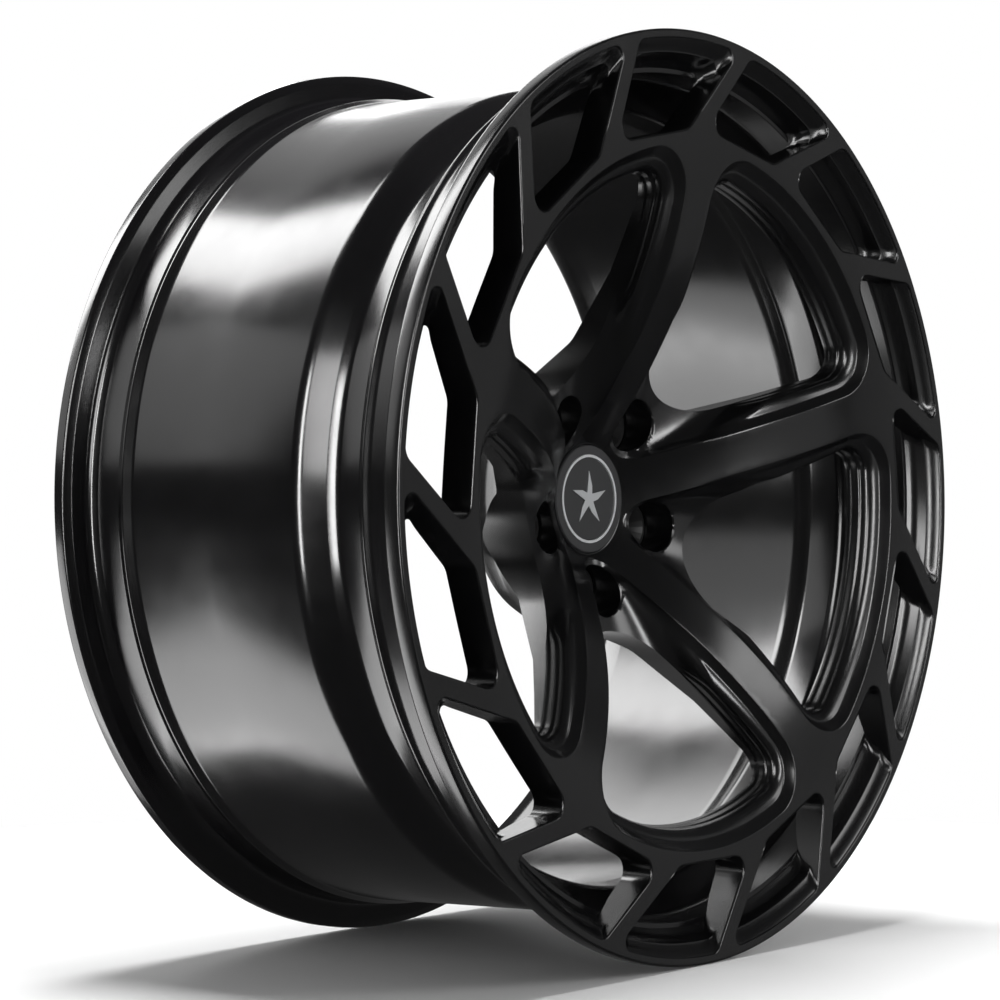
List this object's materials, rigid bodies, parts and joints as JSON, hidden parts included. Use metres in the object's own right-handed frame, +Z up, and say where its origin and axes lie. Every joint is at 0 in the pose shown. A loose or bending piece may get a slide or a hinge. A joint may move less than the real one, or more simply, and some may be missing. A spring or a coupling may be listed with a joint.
{
  "type": "wheel rim",
  "caption": "Forged car wheel rim: concave spoked centre with a ring of slanted windows, deep drop-centre barrel, snap-in centre cap and tubeless valve; bolts to a hub and carries a tyre.",
  "frame": {"origin": "middle of the bounding box, on the wheel axis half way between the front and rear flange faces", "axes": "Y is the wheel axis with the outboard face toward -Y, X is across the wheel, Z is up; the upper spoke leans 0.6 degrees from +Z"},
  "size_m": [0.548, 0.2642, 0.548],
  "materials": {
    "coat": "satin black coating on forged aluminium",
    "coat_barrel": "semi-gloss black coating on forged aluminium",
    "steel": "zinc plated",
    "plastic": "moulded, fine grain",
    "badge": "satin",
    "trim": "satin bright",
    "rubber": "matte",
    "brass": "turned",
    "anodised": "anodised grey"
  },
  "bodies": {
    "wheel": {"disc_face": "coat", "barrel": "coat_barrel", "hub_centring_ring": "anodised", "valve_stem": "anodised", "valve_grommet": "rubber", "valve_washer": "steel", "valve_nut": "steel", "valve_core_body": "brass", "valve_core_spring": "steel", "lug_seat_1": "steel", "lug_seat_2": "steel", "lug_seat_3": "steel", "lug_seat_4": "steel", "lug_seat_5": "steel"},
    "centre_cap": {"cap_body": "plastic", "cap_badge": "badge", "cap_emblem": "trim", "cap_trim_ring": "trim", "cap_seal": "rubber", "cap_spring_ring": "steel"},
    "stem_cap": {"valve_cap": "plastic", "valve_cap_seal": "rubber"},
    "core_pin": {"valve_core_pin": "steel", "valve_core_seal": "rubber"}
  },
  "joints": [
    {"name": "cap_pull_off", "type": "slide", "parent": "wheel", "child": "centre_cap", "axis": [0, -1, 0], "range_m": [0, 0.03]},
    {"name": "stem_cap_off", "type": "slide", "parent": "wheel", "child": "stem_cap", "axis": [-0.342, 0, -0.9397], "range_m": [0, 0.014]},
    {"name": "core_press", "type": "slide", "parent": "wheel", "child": "core_pin", "axis": [0.342, 0, 0.9397], "range_m": [0, 0.001], "stiffness_N_per_m": 400}
  ]
}
